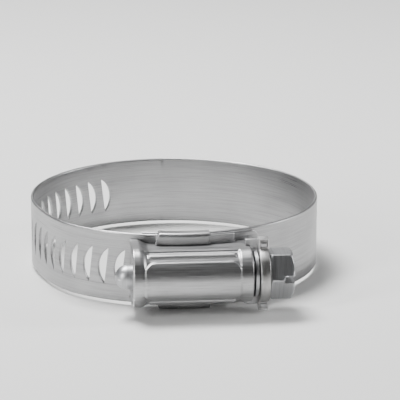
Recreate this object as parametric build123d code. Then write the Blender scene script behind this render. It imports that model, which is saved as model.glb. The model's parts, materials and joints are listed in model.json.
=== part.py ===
from build123d import *
from math import asin, cos, degrees, pi, radians, sin, sqrt
import os

# Worm-drive hose clamp. The origin is on the ring's axis at mid width, +Z runs along that axis, the
# housing is in front on -Y and the screw's hexagon head points towards +X. Millimetres.

# ---- driving dimensions ----
band_width = 12.7
band_thick = 0.6
bore_radius = 26.0  # radius of the hose that the ring just fits
saddle_thick = 0.5
slide_gap = 0.2  # over and under the free end where it slides through the housing
foot_thick = 0.6

slot_pitch = 3.175  # also the lead of the worm
slot_length = 6.6
slot_width = 1.6  # from the straight edge of the D to the top of its arc
slots_after = 3  # slots between the worm's middle and the free tip
slots_before = 23  # slots between the worm's middle and the back of the ring
slot_bias = 0.15  # how far the slots sit past the crest at rest, as the ring's bending pulls them back

anchor_tip = -8.0  # along X from the housing's middle
tail_reach = 13.0  # arc length of the free end past the housing's middle
ramp_start, ramp_end = 285.0, 316.0  # degrees, where the free end climbs over the saddle
seam_gap = 0.1  # between two spans of the strip, so that it can bend there

thread_radius = 3.8
root_radius = 2.8
thread_depth_in_band = 0.35
thread_start, thread_end = -9.0, 9.2
crest_width, root_width = 0.7, 1.3

barrel_wall = 0.7
barrel_inner = 4.1
housing_left, housing_right = -10.4, 10.6
flare_half_width, flare_start = 5.4, -7.5
end_wall = 1.0
foot_left, foot_right = -6.0, 8.0
foot_under_wing, foot_free = 6.2, 6.0  # half widths of the feet
wing_left, wing_right = -6.0, 3.6
wing_half_width = 6.95
wing_slant = 0.7
plate_reach = 5.6  # along the ring to either side of the housing's middle

pilot_radius, pilot_tip = 2.2, -13.3
neck_radius = 2.5
running_clearance = 0.1
collar_left, collar_right, collar_radius = 10.9, 11.65, 4.05
clip_left, clip_right = 11.75, 13.45
clip_radius, clip_ear_reach = 4.9, 6.45
clip_ear_front, clip_ear_back = 1.1, 1.2
lug_width, lug_low, lug_high, lug_clearance = 1.0, 5.1, 5.9, 0.05
arm_thick = 0.8
head_left, head_right, hex_flats = 13.6, 17.75, 7.94
driver_slot_width, driver_slot_depth = 1.2, 1.8

# ---- derived sizes ----
mid_radius = bore_radius + band_thick / 2
saddle_outer = bore_radius + band_thick + saddle_thick
free_inner = saddle_outer + slide_gap
free_mid = free_inner + band_thick / 2
free_outer = free_inner + band_thick
foot_inner = free_outer + slide_gap
foot_outer = foot_inner + foot_thick
screw_y = -(free_outer - thread_depth_in_band + thread_radius)
barrel_outer = barrel_inner + barrel_wall
tail_angle = 360 + degrees(tail_reach / free_mid)
lead_angle = degrees(slot_pitch / (2 * pi * thread_radius))
clear_of_all = 60.0
overrun = 1.0  # how far a cutting tool runs on past the face it cuts
overlap = 0.2  # how far one turned length runs into the next
inside_bore = 3.0  # how far the housing's walls run on into the ring before they are cut to its curve


def on_ring(radius, angle):
    # point at an angle round the ring, counter-clockwise from the front
    return Vector(radius * sin(radians(angle)), -radius * cos(radians(angle)), 0)


def along_ring(angle):
    return Vector(cos(radians(angle)), sin(radians(angle)), 0)


def free_radius(angle):
    # radius of the strip's middle line on the left side, where it climbs from the ring to the free end
    part = min(max((angle - ramp_start) / (ramp_end - ramp_start), 0), 1)
    return mid_radius + (free_mid - mid_radius) * part * part * (3 - 2 * part)


def sector(inner, outer, angle0, angle1, half_height):
    # piece of a tube about the ring's axis, between two angles
    middle = (angle0 + angle1) / 2
    edges = [
        ThreePointArc(on_ring(inner, angle0), on_ring(inner, middle), on_ring(inner, angle1)),
        Line(on_ring(inner, angle1), on_ring(outer, angle1)),
        ThreePointArc(on_ring(outer, angle1), on_ring(outer, middle), on_ring(outer, angle0)),
        Line(on_ring(outer, angle0), on_ring(inner, angle0)),
    ]
    return extrude(make_face(edges), half_height, both=True)


def ring_tube(inner, outer, half_height):
    return Cylinder(outer, 2 * half_height) - Cylinder(inner, 2 * half_height)


def slab(x0, x1, z0, z1):
    # block that runs from the ring's middle out past the housing
    return Pos((x0 + x1) / 2, -clear_of_all / 2, (z0 + z1) / 2) * Box(x1 - x0, clear_of_all, z1 - z0)


def both_sides(piece):
    return piece + mirror(piece, about=Plane.XY)


def rod(radius, x0, x1):
    return Pos((x0 + x1) / 2, screw_y, 0) * Rot(0, 90, 0) * Cylinder(radius, x1 - x0)


# ---- the strip ----
def slot_angles():
    # the slots are one pitch apart along the strip, and the pitch is met where the thread bites
    bite_radius = free_outer - thread_depth_in_band / 2
    step = slot_pitch * free_mid / bite_radius
    first = 360 + degrees((slot_bias + slots_after * step) / free_mid)
    angles = [first]
    for _ in range(slots_after + slots_before):
        angles.append(angles[-1] - degrees(step / free_radius(angles[-1])))
    return angles


def slot_cutter(angle):
    # D-shaped hole, straight edge towards the free tip, top leaning the way the thread leans
    side, top = slot_width / 2, slot_length / 2
    outline = [
        Line((side, -top), (side, top)),
        ThreePointArc((side, top), (-side, 0), (side, -top)),
    ]
    place = Plane(
        origin=on_ring(free_radius(angle), angle),
        x_dir=along_ring(angle),
        z_dir=on_ring(1, angle),
    )
    return place * Rot(0, 0, -lead_angle) * extrude(make_face(outline), 2 * band_thick, both=True)


def cut_slots(span, angle0, angle1):
    for angle in slot_angles():
        if angle0 < angle < angle1:
            span -= slot_cutter(angle)
    return span


def seam_angle():
    return degrees(seam_gap / 2 / mid_radius)


def make_anchor_span():
    start = -degrees(asin(-anchor_tip / mid_radius))
    return sector(bore_radius, bore_radius + band_thick, start, 90 - seam_angle(), band_width / 2)


def make_back_span():
    start, end = 90 + seam_angle(), 270 - seam_angle()
    span = sector(bore_radius, bore_radius + band_thick, start, end, band_width / 2)
    return cut_slots(span, start, end)


def ramp_edge(offset):
    count = 8
    angles = [ramp_start + (ramp_end - ramp_start) * k / count for k in range(count + 1)]
    points = [on_ring(free_radius(a) + offset, a) for a in angles]
    return Spline(points, tangents=[along_ring(ramp_start), along_ring(ramp_end)])


def ring_arc(radius, angle0, angle1):
    ends = on_ring(radius, angle0), on_ring(radius, angle1)
    return ThreePointArc(ends[0], on_ring(radius, (angle0 + angle1) / 2), ends[1])


def make_slotted_span():
    start, half = 270 + seam_angle(), band_thick / 2
    edges = []
    for offset in (-half, half):
        edges.append(ring_arc(mid_radius + offset, start, ramp_start))
        edges.append(ramp_edge(offset))
        edges.append(ring_arc(free_mid + offset, ramp_end, tail_angle))
    for radius, angle in ((mid_radius, start), (free_mid, tail_angle)):
        edges.append(Line(on_ring(radius - half, angle), on_ring(radius + half, angle)))
    span = extrude(make_face(edges), band_width / 2, both=True)
    return cut_slots(span, start, tail_angle)


# ---- saddle and housing ----
def wing_block():
    # one wing seen from the front: square on the right, slanting in on the left
    corners = [
        (wing_left, barrel_outer + running_clearance),
        (wing_right, barrel_outer + running_clearance),
        (wing_right, wing_half_width),
        (wing_left + wing_slant, wing_half_width),
    ]
    outline = make_face(Polyline(*corners, close=True))
    return extrude(Plane.XZ * outline, clear_of_all)


def make_saddle():
    # plate on the strip's fixed end, with a wing folded up each side and over the housing's feet
    inner = bore_radius + band_thick
    lip_inner = foot_outer + running_clearance / 2
    lip_outer = lip_inner + saddle_thick
    wall_inner = wing_half_width - saddle_thick
    reach = degrees(asin(plate_reach / saddle_outer))
    plate = sector(inner, saddle_outer, -reach, reach, band_width / 2)
    body = ring_tube(inner, lip_outer, wing_half_width)
    body -= ring_tube(saddle_outer, lip_inner, wall_inner)
    return plate + (body & both_sides(wing_block()))


def arch(radius, x0, x1):
    # half round in front of the screw's axis, straight sides behind it down into the ring
    depth = -screw_y - bore_radius + inside_bore
    section = Circle(radius) + Pos(depth / 2, 0) * Rectangle(depth, 2 * radius)
    return Pos(0, screw_y, 0) * extrude(Plane.YZ.offset(x0) * section, x1 - x0)


def flare():
    rim = housing_left + end_wall
    steps = 4
    body = arch(flare_half_width, housing_left, rim)
    for k in range(steps):
        x0 = rim + (flare_start - rim) * k / steps
        x1 = rim + (flare_start - rim) * (k + 1) / steps
        fall = (k + 0.5) / steps
        radius = flare_half_width + (barrel_outer - flare_half_width) * fall * fall * (3 - 2 * fall)
        body += arch(radius, x0, x1)
    return body


def make_feet():
    tube = ring_tube(foot_inner, foot_outer, foot_under_wing)
    under_wing = slab(foot_left, wing_right, barrel_inner, foot_under_wing)
    free = slab(wing_right, foot_right, barrel_inner, foot_free)
    return tube & both_sides(under_wing + free)


def make_lugs():
    # an arm along each side of the collar, with a lug that stands in the clip's window
    arm_y = screw_y + clip_ear_back + running_clearance / 2
    arm_start = housing_right - end_wall
    arm_size = (clip_right - arm_start, arm_thick, lug_high - barrel_inner)
    arm_place = ((arm_start + clip_right) / 2, arm_y + arm_thick / 2, (barrel_inner + lug_high) / 2)
    lug_size = (lug_width, clip_ear_front + clip_ear_back, lug_high - lug_low)
    lug_y = arm_y - lug_size[1] / 2 + running_clearance
    lug_place = ((clip_left + clip_right) / 2, lug_y, (lug_low + lug_high) / 2)
    return both_sides(Pos(*arm_place) * Box(*arm_size) + Pos(*lug_place) * Box(*lug_size))


def make_housing():
    body = arch(barrel_outer, flare_start, housing_right) + flare()
    body -= arch(barrel_inner, housing_left + end_wall, housing_right - end_wall)
    body -= Cylinder(foot_inner, 2 * clear_of_all)
    pilot_hole, neck_hole = pilot_radius + running_clearance, neck_radius + running_clearance
    body -= rod(pilot_hole, housing_left - overrun, housing_left + end_wall + overrun)
    body -= rod(neck_hole, housing_right - end_wall - overrun, housing_right + overrun)
    return body + make_feet() + make_lugs()


# ---- clip and screw ----
def make_clip():
    section = Circle(clip_radius) & Pos(-clip_radius, 0) * Rectangle(
        2 * (clip_radius + clip_ear_back), 4 * clip_radius
    )
    ears = Pos((clip_ear_back - clip_ear_front) / 2, 0) * Rectangle(
        clip_ear_front + clip_ear_back, 2 * clip_ear_reach
    )
    neck = Circle(neck_radius + running_clearance) + Pos(clip_radius, 0) * Rectangle(
        2 * clip_radius, 2 * (neck_radius + running_clearance)
    )
    section = section + ears - neck
    clip = Pos(0, screw_y, 0) * extrude(Plane.YZ.offset(clip_left) * section, clip_right - clip_left)
    window = Pos((clip_left + clip_right) / 2, screw_y, (lug_low + lug_high) / 2) * Box(
        lug_width + 2 * lug_clearance, 4 * clip_radius, lug_high - lug_low + 2 * lug_clearance
    )
    return clip - both_sides(window)


def thread_section():
    # section square to the axis: crest and root are arcs, and the flanks rise evenly with the angle
    flank = (slot_pitch - crest_width - root_width) / 2
    turn = 360 / slot_pitch
    top, foot = crest_width / 2 * turn, (crest_width / 2 + flank) * turn

    def at(radius, angle):
        return Vector(radius * cos(radians(angle)), radius * sin(radians(angle)))

    def rise(angle0, angle1):
        steps = [k / 4 for k in range(5)]
        drop = thread_radius - root_radius
        return Spline([at(root_radius + drop * k, angle0 + (angle1 - angle0) * k) for k in steps])

    edges = [
        ThreePointArc(at(thread_radius, -top), at(thread_radius, 0), at(thread_radius, top)),
        rise(foot, top),
        ThreePointArc(at(root_radius, foot), at(root_radius, 180), at(root_radius, -foot)),
        rise(-foot, -top),
    ]
    return make_face(edges).face()


def make_thread():
    # right-hand thread with a crest at X = 0 facing the strip
    length = thread_end - thread_start
    worm = Solid.extrude_linear_with_rotation(
        thread_section(), (0, 0, 0), (0, 0, length), 360 * length / slot_pitch
    )
    start = Plane(origin=(thread_start, screw_y, 0), x_dir=(0, 1, 0), z_dir=(1, 0, 0))
    return start * Rot(0, 0, 360 * thread_start / slot_pitch) * worm


def make_head():
    corner = hex_flats / sqrt(3)
    section = RegularPolygon(corner, 6)
    head = Pos(0, screw_y, 0) * extrude(Plane.YZ.offset(head_left) * section, head_right - head_left)
    slot = Box(2 * driver_slot_depth, 4 * corner, driver_slot_width)
    return head - Pos(head_right, screw_y, 0) * slot


def make_screw():
    screw = make_thread() + rod(pilot_radius, pilot_tip + pilot_radius, thread_start + overlap)
    screw += Pos(pilot_tip + pilot_radius, screw_y, 0) * Sphere(pilot_radius)
    screw += rod(neck_radius, thread_end - overlap, head_left + overlap)
    screw += rod(collar_radius, collar_left, collar_right)
    return screw + make_head()


pieces = {
    "housing": make_housing(),
    "saddle": make_saddle(),
    "retaining_clip": make_clip(),
    "worm_screw": make_screw(),
    "band_anchor_span": make_anchor_span(),
    "band_back_span": make_back_span(),
    "band_slotted_span": make_slotted_span(),
}
os.makedirs("parts", exist_ok=True)
for name, piece in pieces.items():
    export_step(piece, f"parts/{name}.step")
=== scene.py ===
import json
import math
import bmesh
import bpy
import numpy as np
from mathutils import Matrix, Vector


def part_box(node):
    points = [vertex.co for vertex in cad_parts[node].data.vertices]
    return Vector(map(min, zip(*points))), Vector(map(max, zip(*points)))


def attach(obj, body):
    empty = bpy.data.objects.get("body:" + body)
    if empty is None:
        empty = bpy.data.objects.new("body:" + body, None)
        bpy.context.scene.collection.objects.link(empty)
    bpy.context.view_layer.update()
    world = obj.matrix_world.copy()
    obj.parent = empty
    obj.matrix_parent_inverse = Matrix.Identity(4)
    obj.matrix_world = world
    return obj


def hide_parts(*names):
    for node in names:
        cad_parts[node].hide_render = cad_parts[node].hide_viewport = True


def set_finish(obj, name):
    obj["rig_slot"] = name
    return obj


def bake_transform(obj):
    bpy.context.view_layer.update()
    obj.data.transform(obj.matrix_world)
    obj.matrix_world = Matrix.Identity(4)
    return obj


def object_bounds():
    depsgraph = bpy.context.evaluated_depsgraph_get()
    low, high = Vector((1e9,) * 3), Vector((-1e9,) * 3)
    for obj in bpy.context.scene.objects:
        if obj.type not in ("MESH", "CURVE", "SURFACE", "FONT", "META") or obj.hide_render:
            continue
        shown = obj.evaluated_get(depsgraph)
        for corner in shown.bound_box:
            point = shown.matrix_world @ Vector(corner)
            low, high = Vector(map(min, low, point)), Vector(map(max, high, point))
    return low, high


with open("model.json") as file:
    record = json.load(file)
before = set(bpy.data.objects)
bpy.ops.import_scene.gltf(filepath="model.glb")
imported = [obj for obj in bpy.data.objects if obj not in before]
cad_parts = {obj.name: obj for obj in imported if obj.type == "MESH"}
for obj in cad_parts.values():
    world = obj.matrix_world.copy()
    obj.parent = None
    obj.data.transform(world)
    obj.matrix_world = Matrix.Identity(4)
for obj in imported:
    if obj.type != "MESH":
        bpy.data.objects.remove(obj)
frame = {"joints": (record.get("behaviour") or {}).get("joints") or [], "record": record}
cadLow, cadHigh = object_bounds()
print("frame loaded")

mm = 0.001
mounts = {m["name"]: m for m in frame["record"]["mounts"]}
joints = {j["name"]: j for j in frame["joints"]}
boreRadius = mounts["hose_bore"]["dims"]["r_mm"]
stripHalf = mounts["hose_bore"]["dims"]["length_mm"] / 2
screwY = joints["screw_turn"]["pos_m"][1] / mm
screwLow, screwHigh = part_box("worm_screw")
noseX, headX = screwLow.x / mm, screwHigh.x / mm
clipLow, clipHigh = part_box("retaining_clip")


# quads of a grid of rows by columns, with either way round joined up where it closes
def gridFaces(rows, cols, closeRows=False, closeCols=False):
    r = np.arange(rows if closeRows else rows - 1)[:, None]
    c = np.arange(cols if closeCols else cols - 1)[None, :]
    r2, c2 = (r + 1) % rows, (c + 1) % cols
    faces = np.stack([r * cols + c, r * cols + c2, r2 * cols + c2, r2 * cols + c], -1)
    return faces.reshape(-1, 4)


# several (points, faces) pairs put into one mesh: doubles merged, normals turned outwards, edges marked
def makePiece(name, parts, sharpAngle=38.0):
    points, faces, start = [], [], 0
    for partPoints, partFaces in parts:
        points.append(np.asarray(partPoints, float).reshape(-1, 3) * mm)
        faces += [tuple(int(i) + start for i in f) for f in partFaces]
        start += len(points[-1])
    mesh = bpy.data.meshes.new(name)
    mesh.from_pydata(np.concatenate(points).tolist(), [], faces)
    bm = bmesh.new()
    bm.from_mesh(mesh)
    bmesh.ops.remove_doubles(bm, verts=bm.verts, dist=2e-6)
    bmesh.ops.dissolve_degenerate(bm, dist=1e-7, edges=bm.edges)
    bmesh.ops.recalc_face_normals(bm, faces=bm.faces)
    bm.to_mesh(mesh)
    bm.free()
    mesh.shade_smooth()
    mesh.set_sharp_from_angle(angle=math.radians(sharpAngle))
    piece = bpy.data.objects.new(name, mesh)
    bpy.context.scene.collection.objects.link(piece)
    weighted = piece.modifiers.new("faceNormals", "WEIGHTED_NORMAL")
    weighted.keep_sharp = True
    print(name, len(mesh.polygons), "faces")
    return piece


# 0 before a, 1 after b, and an even S-curve between them
def smooth(x, a, b):
    t = np.clip((x - a) / (b - a), 0, 1)
    return t * t * (3 - 2 * t)


# corners of a path in a plane replaced by arcs: points on a quadratic curve that touches both legs
def roundedPath(corners, radius, count=7):
    corners = [np.array(c, float) for c in corners]
    path = [corners[0]]
    for before, corner, after in zip(corners, corners[1:], corners[2:]):
        a, b = before - corner, after - corner
        reach = min(radius, 0.45 * np.linalg.norm(a), 0.45 * np.linalg.norm(b))
        a, b = a / np.linalg.norm(a) * reach, b / np.linalg.norm(b) * reach
        t = np.linspace(0, 1, count)[:, None]
        path += list(corner + (1 - t) ** 2 * a + t ** 2 * b)
    return np.array(path + [corners[-1]])


sheetCap = 3  # points that round off each end of a sheet
crispAngle = 30  # degrees: an edge that turns more is drawn sharp on a cut piece
cutterEase = 0.01


# closed outline of a sheet: its middle line pushed half a thickness each way along its own normal
def sheetOutline(path, thick):
    run = np.gradient(path, axis=0)
    run /= np.linalg.norm(run, axis=1)[:, None]
    normal = np.stack([-run[:, 1], run[:, 0]], 1)
    near, far = path + normal * thick / 2, path - normal * thick / 2
    turn = np.linspace(0, np.pi, sheetCap + 2)[1:-1]
    caps = []
    for end, way in ((-1, 1), (0, -1)):
        n, r = normal[end] * way, run[end] * way
        caps.append(path[end] + (np.cos(turn)[:, None] * n + np.sin(turn)[:, None] * r * 0.5) * thick / 2)
    return np.concatenate([near, caps[0], far[::-1], caps[1]])


strip = {
    "thick": 0.6,
    "climbStart": 285.0,  # degrees round the ring, where the free end climbs over the saddle
    "climbEnd": 316.0,
    "climb": 1.3,
    "pitch": 3.175,
    "bite": 27.725,  # radius at which the thread meets the slots
    "bias": 0.15,  # how far past the worm's middle the slot nearest to it stands
    "after": 3,  # slots from that one towards the free tip
    "before": 23,  # and back round the ring
    "slotLength": 6.6,
    "slotWidth": 1.6,
    "lean": 7.57,  # degrees, the thread's own lead angle
    "tailReach": 13.0,
    "tipCorner": 1.6,
    "anchorTip": -8.0,
    "sideSteps": 16,
    "endSteps": 7,
    "plainStep": 1.0,  # degrees
    "seamStep": 0.05,
    "cellShares": (0.0, 0.35, 0.7),  # rings between a cell's border and its slot
    "bendShare": 0.64,  # each side bends over this share of the radius, both ways from its middle
}
backAngle = 180.0
stripMid = boreRadius + strip["thick"] / 2
freeMid = stripMid + strip["climb"]


# radius of the middle line: the ring's, then an S-curve up to the free end's
def stripRadius(angle):
    return stripMid + strip["climb"] * smooth(angle, strip["climbStart"], strip["climbEnd"])


def slotAngles():
    step = strip["pitch"] * freeMid / strip["bite"]
    angles = [360 + math.degrees((strip["bias"] + strip["after"] * step) / freeMid)]
    for _ in range(strip["after"] + strip["before"]):
        angles.append(angles[-1] - math.degrees(step / float(stripRadius(angles[-1]))))
    return np.array(angles[::-1])


# a point of the strip: angle round the ring, height across it, and offset outwards from the middle line
def onStrip(angle, z, offset):
    r = stripRadius(angle) + offset
    a = np.radians(angle)
    return np.stack([r * np.sin(a), -r * np.cos(a), z + 0 * r], -1)


# half the strip's width, rounded off in a quarter circle at the tip
def halfAt(angle, tip):
    gap = (tip - np.asarray(angle, float)) * np.pi / 180 * freeMid
    inside = np.clip(strip["tipCorner"] - gap, 0, strip["tipCorner"])
    return stripHalf - strip["tipCorner"] + np.sqrt(strip["tipCorner"] ** 2 - inside ** 2)


# heights of the grid's lines as shares of the flat's half width: level with the slot's own points near the
# middle, and wider apart beyond the slot's ends
def lineHeights():
    u = np.linspace(-1, 1, strip["sideSteps"] + 1)
    inner = strip["slotLength"] / 2 / (stripHalf - strip["thick"] / 2)
    return np.sign(u) * (inner * np.abs(u) + (1 - inner) * np.abs(u) ** 6)


# one slot and the strip around it: rings of quads from the cell's border to the D, through it and back
def slotCell(angle, low, high, flat):
    k, n = strip["sideSteps"], strip["endSteps"]
    half, top = strip["slotWidth"] / 2, strip["slotLength"] / 2
    side = -flat * lineHeights()[:-1]
    across = np.linspace(high, low, n + 1)[:-1]
    border = np.concatenate([
        np.stack([np.full(k, high), side], 1),
        np.stack([across, np.full(n, -flat)], 1),
        np.stack([np.full(k, low), -side], 1),
        np.stack([np.linspace(low, high, n + 1)[:-1], np.full(n, flat)], 1),
    ])
    # the arc through both ends of the straight edge, its radius from the chord and the rise
    radius = (top ** 2 + (2 * half) ** 2) / (4 * half)
    spread = math.asin(top / radius)
    turn = np.linspace(-spread, spread, k + 2 * n + 1)
    straight = np.stack([np.full(k, half), np.linspace(top, -top, k + 1)[:-1]], 1)
    arc = np.stack([radius * (1 - np.cos(turn)) - half, radius * np.sin(turn)], 1)
    outline = np.concatenate([straight, arc[:-1]])
    lean = math.radians(strip["lean"])
    outline = outline @ np.array([[math.cos(lean), -math.sin(lean)], [math.sin(lean), math.cos(lean)]])
    ahead, behind = np.roll(outline, -1, 0), np.roll(outline, 1, 0)
    run = (ahead - behind) / np.linalg.norm(ahead - behind, axis=1)[:, None]
    outwards = np.stack([-run[:, 1], run[:, 0]], 1)
    if np.sum(outwards * outline) < 0:
        outwards = -outwards
    t = strip["thick"] / 2
    # two flat rings keep the bright rim, a painted highlight with a rubbed look, from running out over the
    # cell
    rim = [(0.3, t), (0.21, t), (0.14, t), (0.07, t - 0.012), (0.02, t - 0.05), (0.0, t - 0.12)]
    rim += [(d, -h) for d, h in rim[::-1]]
    perDegree = float(stripRadius(angle)) * math.pi / 180
    rows = []
    rows += [(share, rim[0]) for share in strip["cellShares"]]
    rows += [(1.0, r) for r in rim]
    rows += [(share, rim[-1]) for share in strip["cellShares"][::-1]]
    made = []
    for share, (d, h) in rows:
        local = outline + outwards * d
        spot = np.stack([angle + local[:, 0] / perDegree, local[:, 1]], 1)
        at = border * (1 - share) + spot * share
        made.append(onStrip(at[:, 0], at[:, 1], h))
    return np.concatenate(made), gridFaces(len(rows), len(border), closeCols=True)


# a strip between two angles: slot cells, plain grids between them, rolled edges and flat ends;
# tip is the angle of the free end, and one that is never reached where a half has no free end
def buildStrip(name, start, end, tip):
    angles = slotAngles()
    bounds = np.concatenate([[2 * angles[0] - angles[1]], angles, [2 * angles[-1] - angles[-2]]])
    bounds = (bounds[1:] + bounds[:-1]) / 2
    edge = strip["thick"] / 2
    k, n = strip["sideSteps"], strip["endSteps"]
    parts, stations, here = [], [np.array([start])], start

    # both faces of the strip over a run of columns
    def bothFaces(columns):
        z = lineHeights()[None, :] * (halfAt(columns, tip) - edge)[:, None]
        for h in (edge, -edge):
            points = onStrip(np.repeat(columns[:, None], k + 1, 1), z, h)
            parts.append((points, gridFaces(len(columns), k + 1)))
        stations.append(columns[1:])

    def plain(a, b):
        count = max(1, int(round((b - a) / strip["plainStep"])))
        columns = np.linspace(a, b, count + 1)
        # a narrow column at the back, where the two halves of the ring meet, keeps the shading even
        if backAngle in (a, b):
            extra = a + strip["seamStep"] if a == backAngle else b - strip["seamStep"]
            columns = np.sort(np.append(columns, extra))
        bothFaces(columns)

    for i, angle in enumerate(angles):
        low, high = bounds[i], bounds[i + 1]
        if low < start - 1e-6 or high > end + 1e-6:
            continue
        if low > here + 1e-6:
            plain(here, low)
        parts.append(slotCell(angle, low, high, stripHalf - edge))
        stations.append(np.linspace(low, high, n + 1)[1:])
        here = high
    # the rounded tip begins one corner's radius before the end, and its columns close up towards it
    cornerStart = end - math.degrees(strip["tipCorner"] / freeMid) if end == tip else end
    if cornerStart > here + 1e-6:
        plain(here, cornerStart)
    if end == tip:
        turn = np.linspace(0, np.pi / 2, 13)
        bothFaces(cornerStart + (end - cornerStart) * np.sin(turn))
    columns = np.concatenate(stations)
    roll = np.linspace(0, np.pi, 9)
    for way in (1, -1):
        z = way * (halfAt(columns, tip)[:, None] - edge + edge * np.sin(roll)[None, :])
        points = onStrip(np.repeat(columns[:, None], len(roll), 1), z, edge * np.cos(roll)[None, :])
        parts.append((points, gridFaces(len(columns), len(roll))))
    for a in (start, end):
        flat = float(halfAt(a, tip)) - edge
        z = flat * lineHeights()
        out, up = edge * np.sin(roll[1:-1]), edge * np.cos(roll[1:-1])
        ring = np.concatenate([
            onStrip(np.full(k + 1, a), z, edge),
            onStrip(np.full(len(out), a), flat + out, up),
            onStrip(np.full(k + 1, a), z[::-1], -edge),
            onStrip(np.full(len(out), a), -flat - out, -up),
        ])
        parts.append((ring, [tuple(range(len(ring)))]))
    piece = makePiece(name, parts)
    layAlongStrip(piece, start)
    return piece


# UV: how far along the strip, and how far across it, in metres
def layAlongStrip(piece, start):
    mesh = piece.data
    co = np.zeros(len(mesh.vertices) * 3)
    mesh.vertices.foreach_get("co", co)
    co = co.reshape(-1, 3)
    angle = np.degrees(np.arctan2(co[:, 0], -co[:, 1]))
    angle = (angle - start + 1) % 360 + start - 1
    corner = np.zeros(len(mesh.loops), int)
    mesh.loops.foreach_get("vertex_index", corner)
    uv = np.stack([np.radians(angle) * stripMid * mm, co[:, 2]], 1)[corner]
    mesh.uv_layers.new(name="strip").data.foreach_set("uv", uv.astype(np.float32).ravel())


anchorAngle = math.degrees(math.asin(strip["anchorTip"] / stripMid))
noTip = 1e4
tailAngle = 360 + math.degrees(strip["tailReach"] / freeMid)
stripRight = buildStrip("stripRight", anchorAngle, backAngle, noTip)
stripLeft = buildStrip("stripLeft", backAngle, tailAngle, tailAngle)
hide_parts("band_anchor_span")
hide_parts("band_back_span", "band_slotted_span")
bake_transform(stripRight)
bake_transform(stripLeft)
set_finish(stripRight, "strip_steel")
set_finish(stripLeft, "strip_steel")

housing = {
    "left": -10.4,
    "right": 10.6,
    "outer": 4.8,
    "inner": 4.1,
    "rim": 5.4,  # half width of the bell mouth
    "rimEnd": -9.2,
    "flareEnd": -7.2,
    "frontShare": 0.45,  # of the bell mouth's height is left straight in front
    "shareFrom": 20.0,  # degrees from the front, where it starts and ends growing to its full height
    "shareTo": 75.0,
    "crownRise": 0.2,
    "grooveDepth": 0.2,
    "grooveSide": 3.0,  # degrees, over which a groove falls away
    "grooveIn": 46.0,  # degrees from the front
    "grooveOut": 80.0,
    "ribMiddle": 63.0,
    "ribHalf": 7.0,
    "ribHeight": 0.34,
    "ribEnd": 0.7,  # from the panel's end to the rib's
    "panelLeft": -8.5,
    "panelRight": 8.6,
    "panelRamp": 0.5,
    "denseFrom": 7.0,  # either side of the middle, the rows stand closer beyond this
    "wedge": 20.0,
    "wedgeRun": 1.7,
    "wall": 0.8,
    "wallInset": 0.15,
    "wallLap": (0.4, 0.3),  # how far the left and right end walls reach into the barrel's wall
    "edge": 0.3,
    "foot": 0.6,
    "footTop": 31.2,  # the foot's side starts at this radius, inside the barrel's own wall
    "footInner": 28.1,
    "footHalf": 6.2,
    "footLeft": -5.8,
    "footRight": 8.0,
    "pilotHole": 2.3,
    "neckHole": 2.6,
}


# how far the bell mouth stands out past the barrel: highest at the end, and lower in front than at its sides
def bellFlare(x, psi):
    h = housing
    height = (h["rim"] - h["outer"]) * (1 - smooth(x, h["rimEnd"], h["flareEnd"]))
    toSide = smooth(np.abs(psi), h["shareFrom"], h["shareTo"])
    return height * (h["frontShare"] + (1 - h["frontShare"]) * toSide)


# outer radius of the barrel: the bell mouth, plus the raised crown, less the grooves, plus the ribs in them
def barrelRadius(x, psi):
    h = housing
    inPanel = smooth(x, h["panelLeft"], h["panelLeft"] + h["panelRamp"])
    inPanel = inPanel * (1 - smooth(x, h["panelRight"] - h["panelRamp"], h["panelRight"]))
    fromEnd = np.minimum(x - h["panelLeft"], h["panelRight"] - x)
    inner = h["grooveIn"] - h["wedge"] * np.clip(1 - fromEnd / h["wedgeRun"], 0, 1) ** 1.5
    p = np.abs(psi)
    crown = inPanel * (1 - smooth(p, inner - h["grooveSide"], inner + 1))
    groove = inPanel * smooth(p, inner, inner + h["grooveSide"])
    groove = groove * (1 - smooth(p, h["grooveOut"] - h["grooveSide"], h["grooveOut"]))
    rib = np.clip(1 - ((p - h["ribMiddle"]) / h["ribHalf"]) ** 2, 0, 1) ** 0.5
    ribEnds = smooth(fromEnd, h["ribEnd"], h["ribEnd"] + h["panelRamp"])
    return (h["outer"] + bellFlare(x, psi) + h["crownRise"] * crown
            - h["grooveDepth"] * groove + h["ribHeight"] * groove * rib * ribEnds)


# the barrel's wall: over the half round in front of the screw, then straight back to the strip
def barrelShell():
    h = housing
    x = np.concatenate([
        np.linspace(h["left"], -h["denseFrom"], 36)[:-1],
        np.linspace(-h["denseFrom"], h["denseFrom"], 30)[:-1],
        np.linspace(h["denseFrom"], h["right"], 36),
    ])
    psi = np.concatenate([np.full(7, -90.0), np.linspace(-90, 90, 141)[1:-1], np.full(7, 90.0)])
    back = np.concatenate([np.linspace(1, 0, 7), np.zeros(139), np.linspace(0, 1, 7)])
    sideEnd = -np.sqrt(h["footInner"] ** 2 - x ** 2) + 0.02

    def wall(radius):
        rad = np.radians(psi)[None, :]
        depth = (sideEnd - screwY)[:, None] * back[None, :]
        y, z = screwY - radius * np.cos(rad) + depth, radius * np.sin(rad)
        return np.stack([x[:, None] + 0 * rad, y, z], -1)

    outer = barrelRadius(x[:, None], psi[None, :])
    inner = h["inner"] + bellFlare(x[:, None], psi[None, :])
    # the last rows at each end round the wall's edge over
    ends = np.minimum(x - h["left"], h["right"] - x)
    ease = np.sqrt(np.clip(1 - (1 - np.clip(ends / h["edge"], 0, 1)) ** 2, 0, 1))[:, None]
    middle = (outer + inner) / 2
    outer, inner = middle + (outer - middle) * ease, middle + (inner - middle) * ease
    loop = np.concatenate([wall(outer), wall(inner)[:, ::-1]], 1)
    return loop, gridFaces(len(x), loop.shape[1], closeCols=True)


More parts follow.
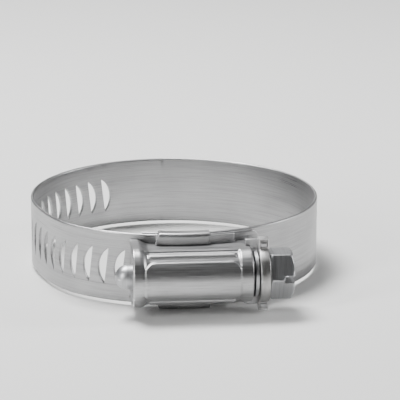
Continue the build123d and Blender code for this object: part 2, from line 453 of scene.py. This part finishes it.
# outline of an end wall seen along X: half round, straight sides, and a bottom that follows the strip
def wallOutline(radius, x, count=96):
    bottom = -math.sqrt(housing["footInner"] ** 2 - x * x)
    turn = np.linspace(-np.pi / 2, np.pi / 2, count // 2)
    arc = np.stack([screwY - radius * np.cos(turn), radius * np.sin(turn)], 1)
    down = np.stack([np.linspace(screwY, bottom, count // 8 + 1)[1:], np.full(count // 8, radius)], 1)
    floor = np.stack([np.full(count // 4, bottom), np.linspace(radius, -radius, count // 4)], 1)
    up = np.stack([down[::-1, 0], -down[:, 1]], 1)
    return np.concatenate([arc, down, floor, up])


# a plate across X with a round hole: outline and hole joined by rings, their edges eased
def holedPlate(outline, hole, x0, x1):
    turn = np.arctan2(outline[:, 1], -(outline[:, 0] - screwY))
    centre = np.array([screwY, 0.0])
    ring = np.stack([screwY - hole * np.cos(turn), hole * np.sin(turn)], 1)
    ease = 0.1
    rows = []
    for x, share, grow in (
        (x0, 0.0, -ease), (x0 + ease, 0.0, 0.0), (x1 - ease, 0.0, 0.0), (x1, 0.0, -ease),
        (x1, 1.0, ease), (x1 - ease, 1.0, 0.0), (x0 + ease, 1.0, 0.0), (x0, 1.0, ease),
    ):
        base = outline * (1 - share) + ring * share
        away = base - centre
        base = base + away / np.linalg.norm(away, axis=1)[:, None] * grow
        rows.append(np.concatenate([np.full((len(base), 1), x), base], 1))
    return np.stack(rows), gridFaces(len(rows), len(outline), closeRows=True, closeCols=True)


# a sheet bent in the plane of radius and height, carried along the ring between two X places;
# slant pushes its left end along as the height grows from slantFrom to the sheet's greatest height
def carriedSheet(path, thick, x0, x1, slant=0.0, slantFrom=0.0, side=1):
    outline = sheetOutline(path, thick)
    top = np.abs(outline[:, 1]).max()
    # the point straight across the sheet's thickness from each point of its outline
    across = (len(outline) - 1 - sheetCap - np.arange(len(outline))) % len(outline)
    middle = (outline + outline[across]) / 2
    rows = []
    ease = 0.08
    stations = np.concatenate([[x0, x0, x0 + ease * 0.3], np.linspace(x0 + ease, x1 - ease, 40),
                               [x1 - ease * 0.3, x1, x1]])
    endShares = [0.0, 0.72, 0.93]  # of the thickness, at the first and the last three stations
    shares = endShares + [1.0] * (len(stations) - 6) + endShares[::-1]
    for x, thickShare in zip(stations, shares):
        flat = middle + (outline - middle) * thickShare
        share = np.clip((np.abs(flat[:, 1]) - slantFrom) / (top - slantFrom), 0, 1)
        left = slant * share * (1 - (x - x0) / (x1 - x0))
        at = x + left
        angle = np.arcsin(at / flat[:, 0])
        rows.append(np.stack([at, -flat[:, 0] * np.cos(angle), side * flat[:, 1]], 1))
    return np.stack(rows), gridFaces(len(stations), len(outline), closeCols=True)


# an outline with square corners eased, pushed along one axis: rings of it from face to face, faces closed
def easedPrism(outline, x0, x1, ease=0.08):
    outline = roundedPath(list(outline) + [outline[0], outline[1]], ease * 2, 4)[1:-1]
    centre = outline.mean(0)
    rows = []
    for x, shrink in ((x0, ease), (x0 + ease * 0.3, ease * 0.3), (x0 + ease, 0),
                      (x1 - ease, 0), (x1 - ease * 0.3, ease * 0.3), (x1, ease)):
        away = outline - centre
        flat = outline - away / np.linalg.norm(away, axis=1)[:, None] * shrink
        rows.append(np.concatenate([np.full((len(flat), 1), x), flat], 1))
    count = len(outline)
    faces = [tuple(f) for f in gridFaces(len(rows), count, closeCols=True)]
    faces += [tuple(range(count)), tuple(range(count * (len(rows) - 1), count * len(rows)))]
    return np.stack(rows), faces


def buildHousing():
    h = housing
    parts = [barrelShell()]
    # each end wall's bottom clears the strip at the wall's inner face, where the strip bulges most
    leftX, rightX = h["left"] + h["wallInset"], h["right"] - h["wallInset"]
    leftIn, rightIn = leftX + h["wall"], rightX - h["wall"]
    leftLap, rightLap = h["wallLap"]
    parts.append(holedPlate(wallOutline(h["inner"] + leftLap, leftIn), h["pilotHole"], leftX, leftIn))
    parts.append(holedPlate(wallOutline(h["inner"] + rightLap, rightIn), h["neckHole"], rightIn, rightX))
    footMiddle = h["footInner"] + h["foot"] / 2
    barrelMiddle = (h["outer"] + h["inner"]) / 2
    bend = [(h["footTop"], barrelMiddle), (footMiddle, barrelMiddle), (footMiddle, h["footHalf"])]
    path = roundedPath(bend, h["foot"])
    for side in (1, -1):
        parts.append(carriedSheet(path, h["foot"], h["footLeft"], h["footRight"], side=side))
        parts += lugParts(side)
    return makePiece("housingShell", parts)


clip = {
    "left": clipLow.x / mm,
    "right": clipHigh.x / mm,
    "radius": 4.9,
    "neck": 2.6,
    "earReach": 6.45,
    "earFront": 1.1,
    "earBack": 1.2,
    "windowLow": 5.05,
    "windowHigh": 5.95,
    "windowHalf": 0.55,
    "lugHalf": 0.5,
    "lugGap": 0.05,
    "arm": 0.8,
    "cornerCut": 0.15,
    "edge": 0.14,
    "lugPast": 0.15,  # how far the lug stands out in front of the ear
    "cutReach": 6.0,  # from the screw's axis, enough to pass right through the ear
}


# a housing arm beside the screw's collar, and the lug at its end that stands in the clip's window
def lugParts(side):
    c = clip
    middle = (c["left"] + c["right"]) / 2
    armBack, armTop = screwY + c["earBack"] + c["lugGap"], c["windowHigh"] - c["lugGap"]
    arm = [(armBack, side * housing["inner"]), (armBack + c["arm"], side * housing["inner"]),
           (armBack + c["arm"], side * armTop), (armBack, side * armTop)]
    lowZ, highZ = side * (c["windowLow"] + c["lugGap"]), side * armTop
    tip = screwY - c["earFront"] - c["lugPast"]
    lug = [(armBack + 0.3, lowZ), (armBack + 0.3, highZ), (tip, highZ), (tip, lowZ)]
    return [
        easedPrism(np.array(arm), housing["right"] - 1, c["right"]),
        easedPrism(np.array(lug), middle - c["lugHalf"], middle + c["lugHalf"]),
    ]


housingShell = buildHousing()
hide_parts("housing")
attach(housingShell, "housing")
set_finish(housingShell, "housing_steel")

saddle = {
    "thick": 0.5,
    "left": -6.0,
    "right": 3.6,
    "slant": 0.75,
    "plateReach": 5.6,
    "tongueHalf": 6.05,
    "tongueThinner": 0.04,
    "tongueLap": 1.0,
    "gap": 0.005,
    "half": 6.95,
    "lipInner": 28.75,
    "lipReach": 5.0,
    "bend": 0.55,  # radius of the folds
}


def buildSaddle():
    s = saddle
    t = s["thick"]
    base = boreRadius + strip["thick"] + t / 2 + s["gap"]
    lip = s["lipInner"] + t / 2
    out = s["half"] - t / 2
    fold = [(lip, -s["lipReach"]), (lip, -out), (base, -out), (base, out), (lip, out), (lip, s["lipReach"])]
    folded = roundedPath(fold, s["bend"], 9)
    parts = [carriedSheet(folded, t, s["left"], s["right"], s["slant"], s["lipReach"])]
    # the tongue under the free end starts inside the folded sheet and is a little thinner
    tongue = np.stack([np.full(12, base), np.linspace(-s["tongueHalf"], s["tongueHalf"], 12)], 1)
    tongueLeft = s["right"] - s["tongueLap"]
    parts.append(carriedSheet(tongue, t - s["tongueThinner"], tongueLeft, s["plateReach"]))
    return makePiece("saddlePlate", parts)


saddlePlate = buildSaddle()
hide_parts("saddle")
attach(saddlePlate, "housing")
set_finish(saddlePlate, "housing_steel")


# a flat plate cut out of sheet: a closed outline, filled and given thickness along X
def cutPlate(name, outline, x0, x1, ease):
    curve = bpy.data.curves.new(name, "CURVE")
    curve.dimensions, curve.fill_mode = "2D", "BOTH"
    curve.extrude = ((x1 - x0) / 2 - ease) * mm
    curve.bevel_depth, curve.bevel_resolution, curve.offset = ease * mm, 2, -ease * mm
    spline = curve.splines.new("POLY")
    spline.points.add(len(outline) - 1)
    flatPoints = [outline * mm, np.zeros((len(outline), 1)), np.ones((len(outline), 1))]
    spline.points.foreach_set("co", np.concatenate(flatPoints, 1).ravel())
    spline.use_cyclic_u = True
    holder = bpy.data.objects.new(name + "Flat", curve)
    bpy.context.scene.collection.objects.link(holder)
    flat = bpy.data.meshes.new_from_object(holder.evaluated_get(bpy.context.evaluated_depsgraph_get()))
    bpy.data.objects.remove(holder)
    co = np.zeros(len(flat.vertices) * 3)
    flat.vertices.foreach_get("co", co)
    co = co.reshape(-1, 3) / mm
    faces = [tuple(p.vertices) for p in flat.polygons]
    bpy.data.meshes.remove(flat)
    return np.stack([co[:, 2] + (x0 + x1) / 2, co[:, 0] + screwY, co[:, 1]], 1), faces


# the strap from the front: flat ears at the screw's level, a half round over it, a notch for its neck
def buildClip():
    c = clip
    shoulder = math.asin(c["earFront"] / c["radius"])
    over = np.linspace(np.pi / 2 - shoulder, -(np.pi / 2 - shoulder), 49)
    arch = np.stack([-c["radius"] * np.cos(over), c["radius"] * np.sin(over)], 1)
    notch = np.linspace(-np.pi / 2, np.pi / 2, 33)
    neck = np.stack([-c["neck"] * np.cos(notch), c["neck"] * np.sin(notch)], 1)
    r, back, front, cut = c["earReach"], c["earBack"], -c["earFront"], c["cornerCut"]
    ear = np.array([(back, c["neck"]), (back, r - cut), (back - cut, r), (front + cut, r), (front, r - cut)])
    outline = np.concatenate([ear, arch, ear[::-1] * (1, -1), neck])
    plate = cutPlate("clipStrap", outline, c["left"], c["right"], c["edge"])
    return makePiece("clipStrap", [plate], crispAngle)


# windows through both ears, cut along Y
def cutWindows(piece):
    c = clip
    middle = (c["left"] + c["right"]) / 2
    parts = []
    for side in (1, -1):
        z0, z1 = side * c["windowLow"], side * c["windowHigh"]
        y0, y1 = screwY - c["cutReach"], screwY + c["cutReach"]
        outline = np.array([(y0, z0), (y1, z0), (y1, z1), (y0, z1)])
        parts.append(easedPrism(outline, middle - c["windowHalf"], middle + c["windowHalf"], cutterEase))
    return subtract(piece, makePiece("windowCutter", parts))


# one mesh less another, with the result kept as the mesh
def subtract(piece, cutter):
    cut = piece.modifiers.new("cut", "BOOLEAN")
    cut.operation, cut.solver, cut.object = "DIFFERENCE", "EXACT", cutter
    piece.modifiers.move(len(piece.modifiers) - 1, 0)
    bpy.context.view_layer.update()
    made = bpy.data.meshes.new_from_object(piece.evaluated_get(bpy.context.evaluated_depsgraph_get()))
    piece.modifiers.remove(piece.modifiers["cut"])
    piece.data = made
    made.name = piece.name
    bpy.data.objects.remove(cutter)
    made.shade_smooth()
    made.set_sharp_from_angle(angle=math.radians(crispAngle))
    return piece


clipStrap = cutWindows(buildClip())
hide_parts("retaining_clip")
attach(clipStrap, "housing")
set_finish(clipStrap, "clip_steel")

screw = {
    "major": 3.8,
    "root": 2.8,
    "crest": 0.7,
    "rootWidth": 1.3,
    "threadLeft": -9.0,
    "threadRight": 9.2,
    "pilot": 2.2,
    "neck": 2.5,
    "collarLeft": 10.9,
    "collarRight": 11.65,
    "collar": 4.05,
    "headLeft": 13.6,
    "flats": 7.94,
    "driverWidth": 1.2,
    "driverDepth": 1.8,
    "pitchBite": strip["pitch"],
    "plainStep": 0.4,  # along X, over the plain shaft and over the thread
    "threadStep": 0.07,
    "collarEdge": 0.06,
    "headOverlap": 0.3,
    "headLines": (0.0, 0.08, 0.25, 0.5, 1.2, 2.2, 3.2, 3.7, 3.95, 4.15, 4.3, 4.36, 4.4),
    "coneLeft": (0.45, 1.9),  # how far below the corner each cone starts at its end, and its rise by X
    "coneRight": (0.75, 1.7),
    "endInset": (0.05, 0.1),  # how far the rows at the left and right ends stand in
    "cutReach": 7.0,  # from the screw's axis, enough to pass right through the head
}


# the turned shaft: radius by X, with the thread where X less the lead's share of the turn falls on a crest
def shaftSurface():
    s = screw
    x = [noseX + s["pilot"] * (1 - np.cos(np.linspace(0, np.pi / 2, 14)))]
    x.append(np.arange(noseX + s["pilot"] + 0.1, s["threadLeft"] - 0.6, s["plainStep"]))
    x.append(np.arange(s["threadLeft"] - 0.5, s["threadRight"] + 0.6, s["threadStep"]))
    step = s["collarEdge"]
    for place in (s["collarLeft"], s["collarRight"]):
        x.append(np.array([-step * 2, -step, -0.005, 0.005, step, step * 2]) + place)
    x.append(np.array([s["headLeft"] + s["headOverlap"]]))
    x = np.unique(np.concatenate(x))
    theta = np.linspace(0, 2 * np.pi, 97)[:-1]
    grid = x[:, None]
    phase = (grid - s["pitchBite"] * theta[None, :] / (2 * np.pi)) % s["pitchBite"]
    off = np.minimum(phase, s["pitchBite"] - phase)
    rise = 1 - smooth(off, s["crest"] / 2, (s["pitchBite"] - s["rootWidth"]) / 2)
    fade = smooth(grid, s["threadLeft"], s["threadLeft"] + 1.0)
    fade = fade * (1 - smooth(grid, s["threadRight"] - 1.0, s["threadRight"]))
    nose = np.sqrt(np.clip(s["pilot"] ** 2 - np.clip(noseX + s["pilot"] - grid, 0, None) ** 2, 0, None))
    base = np.where(grid < s["threadLeft"] - 0.3, nose, s["root"])
    base = np.where(grid > s["threadRight"] + 0.3, s["neck"], base)
    radius = base + (s["major"] - s["root"]) * rise * fade
    inCollar = smooth(grid, s["collarLeft"] - 0.001, s["collarLeft"] + step * 1.5)
    inCollar = inCollar * (1 - smooth(grid, s["collarRight"] - step * 1.5, s["collarRight"] + 0.001))
    radius = radius + (s["collar"] - radius) * np.sqrt(inCollar)
    y, z = screwY + radius * np.cos(theta), radius * np.sin(theta)
    points = np.stack([x[:, None] + 0 * theta, y, z], -1)
    faces = [tuple(f) for f in gridFaces(len(x), len(theta), closeCols=True)]
    last = (len(x) - 1) * len(theta)
    faces.append(tuple(range(last, last + len(theta))))
    return points, faces


# the head: a hexagon's radius by angle, cut back at both ends by cones so that the corners are chamfered
def headSurface():
    s = screw
    theta = np.linspace(0, 2 * np.pi, 145)[:-1]
    flat = s["flats"] / 2
    hexagon = flat / np.cos((theta % (np.pi / 3)) - np.pi / 6)
    left, right = s["headLeft"], headX
    lines = np.array(s["headLines"])
    x = lines * (right - left) / lines[-1] + left
    corner = flat / math.cos(math.pi / 6)
    (leftDrop, leftRise), (rightDrop, rightRise) = s["coneLeft"], s["coneRight"]
    cone = np.minimum(corner - leftDrop + (x - left) * leftRise, corner - rightDrop + (right - x) * rightRise)
    radius = np.minimum(hexagon[None, :], cone[:, None])
    radius[0] -= s["endInset"][0]
    radius[-1] -= s["endInset"][1]
    points = np.stack([x[:, None] + 0 * radius, screwY + radius * np.cos(theta), radius * np.sin(theta)], -1)
    faces = [tuple(f) for f in gridFaces(len(x), len(theta), closeCols=True)]
    faces += [tuple(range(len(theta))), tuple(range((len(x) - 1) * len(theta), len(x) * len(theta)))]
    return points, faces


# the hexagon less its driver slot, which is cut along Y
def buildHead():
    s = screw
    head = makePiece("screwHead", [headSurface()], 25)
    y0, y1, half = screwY - s["cutReach"], screwY + s["cutReach"], s["driverWidth"] / 2
    outline = np.array([(y0, -half), (y1, -half), (y1, half), (y0, half)])
    slot = easedPrism(outline, headX - s["driverDepth"], headX + 2, cutterEase)
    return subtract(head, makePiece("driverCutter", [slot]))


screwHead = buildHead()
screwShaft = makePiece("screwShaft", [shaftSurface()], 50)
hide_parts("worm_screw")
for piece in (screwHead, screwShaft):
    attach(piece, "screw")
    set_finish(piece, "screw_steel")
print("pieces built")


# a node group with named sockets, ready for its nodes
def newGroup(name, inputs, outputs):
    group = bpy.data.node_groups.new(name, "ShaderNodeTree")
    for socketName, kind, value in inputs:
        socket = group.interface.new_socket(socketName, in_out="INPUT", socket_type=kind)
        if value is not None:
            socket.default_value = value
    for socketName, kind in outputs:
        group.interface.new_socket(socketName, in_out="OUTPUT", socket_type=kind)
    return group, group.nodes.new("NodeGroupInput"), group.nodes.new("NodeGroupOutput")


def mathNode(tree, operation, a, b=None, clamp=False):
    node = tree.nodes.new("ShaderNodeMath")
    node.operation, node.use_clamp = operation, clamp
    for socket, value in zip(node.inputs, (a, b)):
        if isinstance(value, (int, float)):
            socket.default_value = value
        elif value is not None:
            tree.links.new(value, socket)
    return node.outputs[0]


def noiseNode(tree, vector, scale, detail=3.0, rough=0.5):
    node = tree.nodes.new("ShaderNodeTexNoise")
    tree.links.new(vector, node.inputs["Vector"])
    for socketName, value in (("Scale", scale), ("Detail", detail), ("Roughness", rough)):
        if isinstance(value, (int, float)):
            node.inputs[socketName].default_value = value
        else:
            tree.links.new(value, node.inputs[socketName])
    return node.outputs["Fac"]


def spread(tree, value, low, high, toLow=0.0, toHigh=1.0):
    node = tree.nodes.new("ShaderNodeMapRange")
    tree.links.new(value, node.inputs["Value"])
    for socketName, number in zip(("From Min", "From Max", "To Min", "To Max"), (low, high, toLow, toHigh)):
        node.inputs[socketName].default_value = number
    return node.outputs["Result"]


# long fine lines: noise on coordinates stretched along the way the metal was rolled or turned
def rolledGrainGroup():
    group, into, out = newGroup("rolledGrain", [
        ("Vector", "NodeSocketVector", None), ("Stretch", "NodeSocketVector", (1, 1, 1))],
        [("Grain", "NodeSocketFloat"), ("Scratches", "NodeSocketFloat")])
    scaled = group.nodes.new("ShaderNodeVectorMath")
    scaled.operation = "MULTIPLY"
    group.links.new(into.outputs["Vector"], scaled.inputs[0])
    group.links.new(into.outputs["Stretch"], scaled.inputs[1])
    fine = noiseNode(group, scaled.outputs[0], 1.0, 5.0, 0.65)
    broad = noiseNode(group, scaled.outputs[0], 0.23, 2.0, 0.5)
    fineShare = mathNode(group, "MULTIPLY", fine, 0.65)
    both = mathNode(group, "ADD", fineShare, mathNode(group, "MULTIPLY", broad, 0.35))
    group.links.new(both, out.inputs["Grain"])
    group.links.new(spread(group, fine, 0.66, 0.74), out.inputs["Scratches"])
    return group


# painted highlight on sharply turning edges, which also gives them a rubbed look, and painted shade darkening
# the hollows, from how sharply the surface turns
def edgeWearGlintShadeGroup():
    group, into, out = newGroup("edgeWearGlintShade", [
        ("Vector", "NodeSocketVector", None), ("Scale", "NodeSocketFloat", 900.0)],
        [("WornGlint", "NodeSocketFloat"), ("HollowShade", "NodeSocketFloat")])
    point = group.nodes.new("ShaderNodeNewGeometry").outputs["Pointiness"]
    broken = noiseNode(group, into.outputs["Vector"], into.outputs["Scale"], 4.0, 0.6)
    turned = spread(group, point, 0.56, 0.64)
    # painted highlight: sharp edges brightened, broken up by noise so that they also look rubbed
    wornGlint = mathNode(group, "MULTIPLY", turned, spread(group, broken, 0.35, 0.6), True)
    group.links.new(wornGlint, out.inputs["WornGlint"])
    # painted shade: the hollows darkened where shade would fall in creases
    group.links.new(spread(group, point, 0.48, 0.4), out.inputs["HollowShade"])
    return group


# handling marks: cloudy patches, and small specks of dust
def handlingGroup():
    group, into, out = newGroup("handling", [
        ("Vector", "NodeSocketVector", None), ("Scale", "NodeSocketFloat", 120.0)],
        [("Cloud", "NodeSocketFloat"), ("Specks", "NodeSocketFloat")])
    cloud = noiseNode(group, into.outputs["Vector"], into.outputs["Scale"], 4.0, 0.55)
    group.links.new(spread(group, cloud, 0.35, 0.68), out.inputs["Cloud"])
    finer = mathNode(group, "MULTIPLY", into.outputs["Scale"], 22.0)
    tiny = noiseNode(group, into.outputs["Vector"], finer, 2.0)
    group.links.new(spread(group, tiny, 0.7, 0.76), out.inputs["Specks"])
    return group


effects = {"grain": rolledGrainGroup(), "wearGlintShade": edgeWearGlintShadeGroup(), "handling": handlingGroup()}
finishes = {
    # dark: the colour of the painted shade in the hollows, and of the handling smudges
    "strip_steel": {
        "colour": (0.43, 0.43, 0.435), "dark": (0.13, 0.13, 0.135), "rough": 0.22, "roughSpread": 0.2,
        "stretch": (110, 6000, 1), "bump": 0.2, "anisotropy": 0.6, "wornGlint": 0.1, "coords": "UV",
    },
    "housing_steel": {
        "colour": (0.5, 0.5, 0.505), "dark": (0.12, 0.12, 0.125), "rough": 0.27, "roughSpread": 0.16,
        "stretch": (140, 4000, 4000), "bump": 0.2, "anisotropy": 0.0, "wornGlint": 0.8, "coords": "Object",
    },
    "clip_steel": {
        "colour": (0.47, 0.465, 0.46), "dark": (0.12, 0.12, 0.12), "rough": 0.32, "roughSpread": 0.14,
        "stretch": (1500, 1500, 220), "bump": 0.2, "anisotropy": 0.0, "wornGlint": 0.8, "coords": "Object",
    },
    "screw_steel": {
        "colour": (0.47, 0.475, 0.485), "dark": (0.12, 0.122, 0.13), "rough": 0.3, "roughSpread": 0.15,
        "stretch": (6000, 160, 160), "bump": 0.2, "anisotropy": 0.0, "wornGlint": 0.8, "coords": "Object",
    },
}
marks = {
    "grainDark": 0.7,  # share of the metal's colour left in the grain's dark lines
    # how far the hollows take the painted shade's dark colour
    "hollowShade": 0.7,
    "cloud": 0.12,
    "cloudRough": 0.07,
    "speckRough": 0.2,
    "scratch": 0.3,
    "grainHeight": 0.00002,
    # pale colour of the painted edge highlight
    "wornGlintColour": (0.86, 0.86, 0.865),
}


def mixColour(tree, factor, a, b):
    node = tree.nodes.new("ShaderNodeMix")
    node.data_type = "RGBA"
    tree.links.new(factor, node.inputs["Factor"])
    for socket, value in ((node.inputs["A"], a), (node.inputs["B"], b)):
        if isinstance(value, tuple):
            socket.default_value = (*value, 1)
        else:
            tree.links.new(value, socket)
    return node.outputs["Result"]


def steel(name):
    f = finishes[name]
    material = bpy.data.materials.new(name)
    material.use_nodes = True
    tree = material.node_tree
    shader = tree.nodes["Principled BSDF"]
    shader.inputs["Metallic"].default_value = 1.0
    shader.inputs["Anisotropic"].default_value = f["anisotropy"]
    coordsNode = tree.nodes.new("ShaderNodeTexCoord")
    groups = {}
    for key, group in effects.items():
        node = tree.nodes.new("ShaderNodeGroup")
        node.node_tree = group
        source = f["coords"] if key == "grain" else "Object"
        tree.links.new(coordsNode.outputs[source], node.inputs["Vector"])
        groups[key] = node
    groups["grain"].inputs["Stretch"].default_value = f["stretch"]
    grain = groups["grain"].outputs["Grain"]
    lineColour = tuple(marks["grainDark"] * c for c in f["colour"])
    base = mixColour(tree, spread(tree, grain, 0.36, 0.56), lineColour, f["colour"])
    for key, mask, share, colour in (
        # painted shade in the hollows
        ("wearGlintShade", "HollowShade", marks["hollowShade"], f["dark"]),
        ("handling", "Cloud", marks["cloud"], f["dark"]),
        # painted highlight on the edges, with a rubbed look
        ("wearGlintShade", "WornGlint", f["wornGlint"], marks["wornGlintColour"]),
    ):
        base = mixColour(tree, mathNode(tree, "MULTIPLY", groups[key].outputs[mask], share), base, colour)
    tree.links.new(base, shader.inputs["Base Color"])
    rough = spread(tree, grain, 0.3, 0.7, f["rough"], f["rough"] + f["roughSpread"])
    for mask, share in (("Cloud", marks["cloudRough"]), ("Specks", marks["speckRough"])):
        more = mathNode(tree, "MULTIPLY", groups["handling"].outputs[mask], share)
        rough = mathNode(tree, "ADD", rough, more)
    tree.links.new(rough, shader.inputs["Roughness"])
    bump = tree.nodes.new("ShaderNodeBump")
    bump.inputs["Strength"].default_value = f["bump"]
    bump.inputs["Distance"].default_value = marks["grainHeight"]
    scratches = mathNode(tree, "MULTIPLY", groups["grain"].outputs["Scratches"], marks["scratch"])
    tree.links.new(mathNode(tree, "SUBTRACT", grain, scratches), bump.inputs["Height"])
    tree.links.new(bump.outputs["Normal"], shader.inputs["Normal"])
    return material


steels = {name: steel(name) for name in finishes}
for piece in (stripRight, stripLeft, housingShell, saddlePlate, clipStrap, screwHead, screwShaft):
    piece.data.materials.clear()
    piece.data.materials.append(steels[piece["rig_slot"]])
print("materials made")

studio = {
    "floorReach": 0.9,
    "floorBend": 0.25,
    "floorColour": (0.8, 0.8, 0.79),
    "distance": 0.44,
    "azimuth": -5.4,
    "elevation": 16.0,
    "lens": 212.0,
    "shift": (0.065, 0.065),
    "airColour": (0.78, 0.8, 0.83),
    "airStrength": (0.02, 0.4),
    "lights": (  # name, place, width and height, watts
        ("overhead", (-0.12, 0.14, 0.45), (0.26, 0.18), 5.0),
        ("leftFront", (-0.42, -0.3, 0.22), (0.1, 0.3), 2.0),
        ("rightRim", (0.45, -0.02, 0.16), (0.07, 0.24), 1.3),
    ),
}


# a flat floor that curves up behind the object into a wall, as one sheet of paper does
def makeFloor():
    reach = studio["floorReach"]
    low = cadLow.z
    turn = np.linspace(0, np.pi / 2, 17)
    bend = studio["floorBend"]
    y = np.concatenate([[-reach], reach - bend + bend * np.sin(turn), [reach]])
    z = np.concatenate([[low], low + bend * (1 - np.cos(turn)), [low + reach]])
    x = np.array([-reach * 1.5, reach * 1.5])
    points = np.stack([x[None, :] + 0 * y[:, None], y[:, None] + 0 * x, z[:, None] + 0 * x], -1)
    mesh = bpy.data.meshes.new("floor")
    mesh.from_pydata(points.reshape(-1, 3).tolist(), [], gridFaces(len(y), 2).tolist())
    mesh.shade_smooth()
    floor = bpy.data.objects.new("floor", mesh)
    bpy.context.scene.collection.objects.link(floor)
    paper = bpy.data.materials.new("paper")
    paper.use_nodes = True
    shader = paper.node_tree.nodes["Principled BSDF"]
    shader.inputs["Base Color"].default_value = (*studio["floorColour"], 1)
    shader.inputs["Roughness"].default_value = 0.85
    mesh.materials.append(paper)


def softbox(name, place, size, power):
    light = bpy.data.lights.new(name, "AREA")
    light.shape, light.size, light.size_y, light.energy = "RECTANGLE", size[0], size[1], power
    holder = bpy.data.objects.new(name, light)
    bpy.context.scene.collection.objects.link(holder)
    holder.location = place
    holder.rotation_euler = (-Vector(place)).to_track_quat("-Z", "Y").to_euler()


makeFloor()
for light in studio["lights"]:
    softbox(*light)

world = bpy.data.worlds.new("studioAir")
bpy.context.scene.world = world
world.use_nodes = True
air = world.node_tree.nodes["Background"]
# the room is bright behind the object and dim in front, so that the steel has something dark to mirror
direction = world.node_tree.nodes.new("ShaderNodeTexCoord")
split = world.node_tree.nodes.new("ShaderNodeSeparateXYZ")
world.node_tree.links.new(direction.outputs["Generated"], split.inputs[0])
depth = spread(world.node_tree, split.outputs["Y"], -0.5, 0.7, *studio["airStrength"])
world.node_tree.links.new(depth, air.inputs["Strength"])
air.inputs["Color"].default_value = (*studio["airColour"], 1)

cameraData = bpy.data.cameras.new("camera")
cameraData.lens, cameraData.sensor_width = studio["lens"], 36.0
cameraData.shift_x, cameraData.shift_y = studio["shift"]
cameraData.clip_start = 0.01
camera = bpy.data.objects.new("camera", cameraData)
bpy.context.scene.collection.objects.link(camera)
azimuth, elevation = math.radians(studio["azimuth"]), math.radians(studio["elevation"])
away = Vector((math.sin(azimuth) * math.cos(elevation), -math.cos(azimuth) * math.cos(elevation),
               math.sin(elevation)))
camera.location = away * studio["distance"]
camera.rotation_euler = away.to_track_quat("Z", "Y").to_euler()
bpy.context.scene.camera = camera
print("studio ready")
